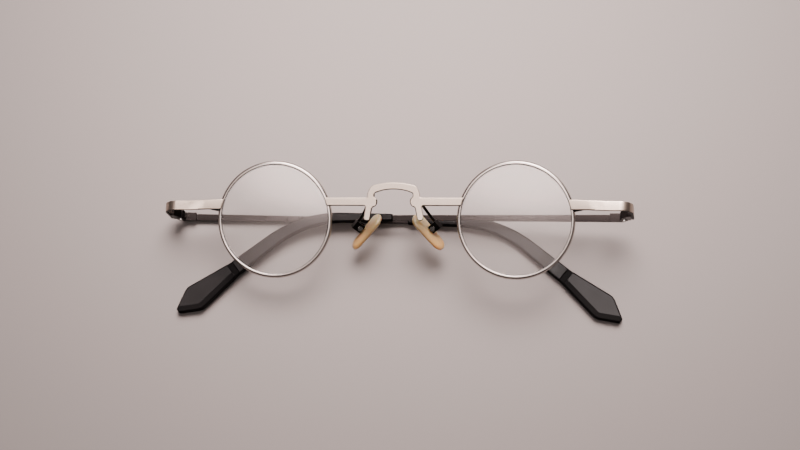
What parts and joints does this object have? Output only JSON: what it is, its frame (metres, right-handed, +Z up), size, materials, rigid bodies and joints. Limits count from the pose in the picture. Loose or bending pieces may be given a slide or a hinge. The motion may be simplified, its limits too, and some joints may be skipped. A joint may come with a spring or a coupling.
{
  "type": "round wire eyeglasses",
  "caption": "Folding eyeglasses with round wire rims, clear lenses, flat arched bridge, rocking nose pads and hinged temples with black bevelled tips.",
  "frame": {"origin": "on the table, below the middle of the folded pair's outline", "axes": "+X along the width of the front, +Y to the brow, +Z up from the table to the front face"},
  "size_m": [0.1418, 0.044, 0.0225],
  "materials": {
    "satin_metal": "satin",
    "screw_steel": "polished",
    "dark_metal": "satin gunmetal",
    "lens": "clear",
    "pad_plastic": "translucent amber",
    "tip_plastic": "gloss black"
  },
  "bodies": {
    "front": {"bridge": "satin_metal", "left_rim": "satin_metal", "right_rim": "satin_metal", "left_lens": "lens", "right_lens": "lens", "left_end_piece": "satin_metal", "right_end_piece": "satin_metal", "left_lock_upper": "satin_metal", "right_lock_upper": "satin_metal", "left_lock_lower": "satin_metal", "right_lock_lower": "satin_metal", "left_lock_screw": "screw_steel", "right_lock_screw": "screw_steel", "left_pad_arm": "dark_metal", "right_pad_arm": "dark_metal", "left_pad_box": "dark_metal", "right_pad_box": "dark_metal", "left_pad_screw": "screw_steel", "right_pad_screw": "screw_steel", "left_front_hinge": "dark_metal", "right_front_hinge": "dark_metal", "left_hinge_screw": "screw_steel", "right_hinge_screw": "screw_steel"},
    "left_temple": {"left_temple": "dark_metal", "left_temple_hinge": "dark_metal", "left_temple_tip": "tip_plastic"},
    "right_temple": {"right_temple": "dark_metal", "right_temple_hinge": "dark_metal", "right_temple_tip": "tip_plastic"},
    "left_pad": {"left_nose_pad": "pad_plastic"},
    "right_pad": {"right_nose_pad": "pad_plastic"}
  },
  "joints": [
    {"name": "left_temple_fold", "type": "hinge", "parent": "front", "child": "left_temple", "pos_m": [-0.06752, 0.00834, 0.0037], "axis": [0, 1, 0], "range_deg": [0, 91]},
    {"name": "right_temple_fold", "type": "hinge", "parent": "front", "child": "right_temple", "pos_m": [0.06788, 0.00834, 0.01103], "axis": [0, -1, 0], "range_deg": [0, 94]},
    {"name": "left_pad_rock", "type": "hinge", "parent": "front", "child": "left_pad", "pos_m": [-0.01124, 0.00407, 0.00912], "axis": [0.2301, -0.5957, 0.7695], "range_deg": [-8, 8]},
    {"name": "right_pad_rock", "type": "hinge", "parent": "front", "child": "right_pad", "pos_m": [0.01135, 0.00407, 0.01034], "axis": [-0.3119, -0.5957, 0.7401], "range_deg": [-8, 8]}
  ]
}
